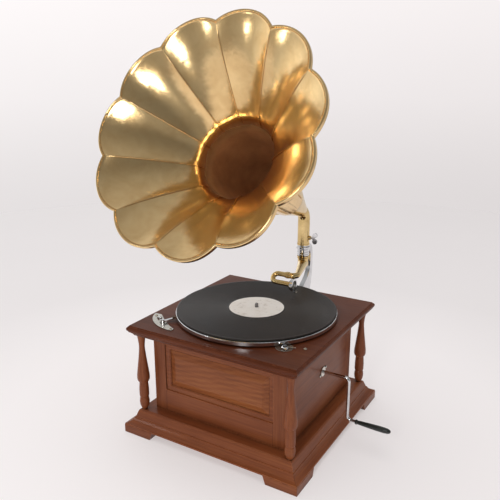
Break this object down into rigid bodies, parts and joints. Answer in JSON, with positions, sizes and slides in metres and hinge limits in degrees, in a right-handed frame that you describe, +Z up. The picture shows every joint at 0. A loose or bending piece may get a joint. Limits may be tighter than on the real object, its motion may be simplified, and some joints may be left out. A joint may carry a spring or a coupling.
{
  "type": "wind up phonograph",
  "caption": "Hand-cranked phonograph with a panelled wooden case, turned corner columns, turntable, tone arm and petal horn.",
  "frame": {"origin": "centre of the case on the floor", "axes": "+Z up, -Y the front with the raised panel and the horn's mouth, +X the side with the crank"},
  "size_m": [0.475, 0.5018, 0.7486],
  "materials": {
    "case_wood": "polished reddish-brown wood",
    "top_wood": "polished dark reddish-brown wood",
    "hidden_wood": "plain unpolished wood",
    "horn_brass": "polished lacquered brass",
    "chrome": "bright plated",
    "nickel": "nickel plated, slightly dull",
    "steel": "machined steel",
    "gear_brass": "machined brass",
    "spring_steel": "blued spring steel",
    "lead": "lead",
    "grip_black": "black-green painted wood",
    "felt": "dark green felt",
    "shellac": "pressed shellac with a fine groove",
    "paper": "plain cream paper",
    "leather": "brown leather",
    "mica": "clear mica",
    "speed_green": "dull grey-green plate"
  },
  "bodies": {
    "case": {"plinth": "case_wood", "bottom_board": "hidden_wood", "front_frame": "case_wood", "front_field": "case_wood", "side_board_right": "case_wood", "side_board_left": "case_wood", "back_board": "case_wood", "top_board": "top_wood", "motor_plate_upper": "steel", "motor_plate_lower": "steel", "motor_pillars": "steel", "winding_bearing": "steel", "governor_bearings": "steel", "crank_bush": "nickel", "crank_screws": "nickel", "brake_plate": "nickel", "brake_screws": "nickel", "speed_plate": "speed_green", "top_screw": "nickel", "back_bracket": "chrome", "bracket_screws": "nickel", "foot_front_left": "case_wood", "foot_front_right": "case_wood", "foot_back_left": "case_wood", "foot_back_right": "case_wood", "column_front_left": "case_wood", "column_front_right": "case_wood", "column_back_left": "case_wood", "column_back_right": "case_wood"},
    "turntable": {"turntable": "chrome", "felt_mat": "felt", "record_disc": "shellac", "record_label": "paper", "spindle": "steel"},
    "counter": {"counter_shaft": "steel"},
    "barrel": {"spring_barrel": "gear_brass", "mainspring": "spring_steel"},
    "governor": {"governor_shaft": "steel", "governor_springs": "spring_steel", "governor_weights": "lead"},
    "crank": {"winding_shaft": "steel", "crank_rod": "chrome"},
    "arbor": {"winding_arbor": "steel"},
    "grip": {"crank_grip": "grip_black"},
    "brake": {"brake_lever": "chrome", "brake_pad": "leather"},
    "regulator": {"speed_pointer": "chrome"},
    "rocker": {"speed_rocker": "steel"},
    "arm": {"tone_arm": "horn_brass"},
    "sound_box": {"gooseneck": "horn_brass", "sound_box_back": "nickel", "sound_box_case": "chrome", "diaphragm": "mica", "needle_bar": "chrome", "needle_screw": "nickel", "needle": "nickel"},
    "horn": {"horn_elbow": "horn_brass", "horn_petals": "horn_brass"},
    "thumb_screw": {"thumb_screw": "chrome"}
  },
  "joints": [
    {"name": "turntable_spin", "type": "hinge", "parent": "case", "child": "turntable", "pos_m": [0, 0, 0.22], "axis": [0, 0, 1], "continuous": true},
    {"name": "counter_spin", "type": "hinge", "parent": "case", "child": "counter", "pos_m": [0.01665, 0.0336, 0.15], "axis": [0, 0, 1], "continuous": true},
    {"name": "barrel_spin", "type": "hinge", "parent": "case", "child": "barrel", "pos_m": [0.06, 0.004, 0.16], "axis": [0, 0, 1], "continuous": true},
    {"name": "governor_spin", "type": "hinge", "parent": "case", "child": "governor", "pos_m": [0, -0.016, 0.155], "axis": [1, 0, 0], "continuous": true},
    {"name": "crank_turn", "type": "hinge", "parent": "case", "child": "crank", "pos_m": [0.15, 0.004, 0.128], "axis": [1, 0, 0], "continuous": true},
    {"name": "arbor_turn", "type": "hinge", "parent": "case", "child": "arbor", "pos_m": [0.06, 0.004, 0.12], "axis": [0, 0, 1], "continuous": true},
    {"name": "grip_spin", "type": "hinge", "parent": "crank", "child": "grip", "pos_m": [0.24, 0.004, 0.045], "axis": [1, 0, 0], "continuous": true},
    {"name": "brake_hinge", "type": "hinge", "parent": "case", "child": "brake", "pos_m": [-0.121, -0.131, 0.219], "axis": [0, 0, 1], "range_deg": [0, 30]},
    {"name": "speed_turn", "type": "hinge", "parent": "case", "child": "regulator", "pos_m": [0.116, -0.107, 0.216], "axis": [0, 0, 1], "range_deg": [-25, 25]},
    {"name": "rocker_turn", "type": "hinge", "parent": "case", "child": "rocker", "pos_m": [0.038, -0.062, 0.1825], "axis": [0, 0, 1], "range_deg": [-1, 1]},
    {"name": "arm_swing", "type": "hinge", "parent": "case", "child": "arm", "pos_m": [0, 0.197, 0.3], "axis": [0, 0, 1], "range_deg": [-20, 60]},
    {"name": "sound_box_lift", "type": "hinge", "parent": "arm", "child": "sound_box", "pos_m": [0, 0.108, 0.262], "axis": [-1, 0, 0], "range_deg": [0, 100]},
    {"name": "horn_swivel", "type": "hinge", "parent": "case", "child": "horn", "pos_m": [0, 0.197, 0.32], "axis": [0, 0, 1], "range_deg": [-60, 60]},
    {"name": "thumb_screw_turn", "type": "hinge", "parent": "horn", "child": "thumb_screw", "pos_m": [0.02, 0.197, 0.32], "axis": [1, 0, 0], "continuous": true}
  ],
  "couplings": [
    {"joint": "counter_spin", "follows": "turntable_spin", "ratio": -0.25},
    {"joint": "barrel_spin", "follows": "turntable_spin", "ratio": 0.041667},
    {"joint": "governor_spin", "follows": "turntable_spin", "ratio": -24},
    {"joint": "arbor_turn", "follows": "crank_turn", "ratio": 0.5},
    {"joint": "rocker_turn", "follows": "speed_turn", "ratio": -0.039}
  ]
}
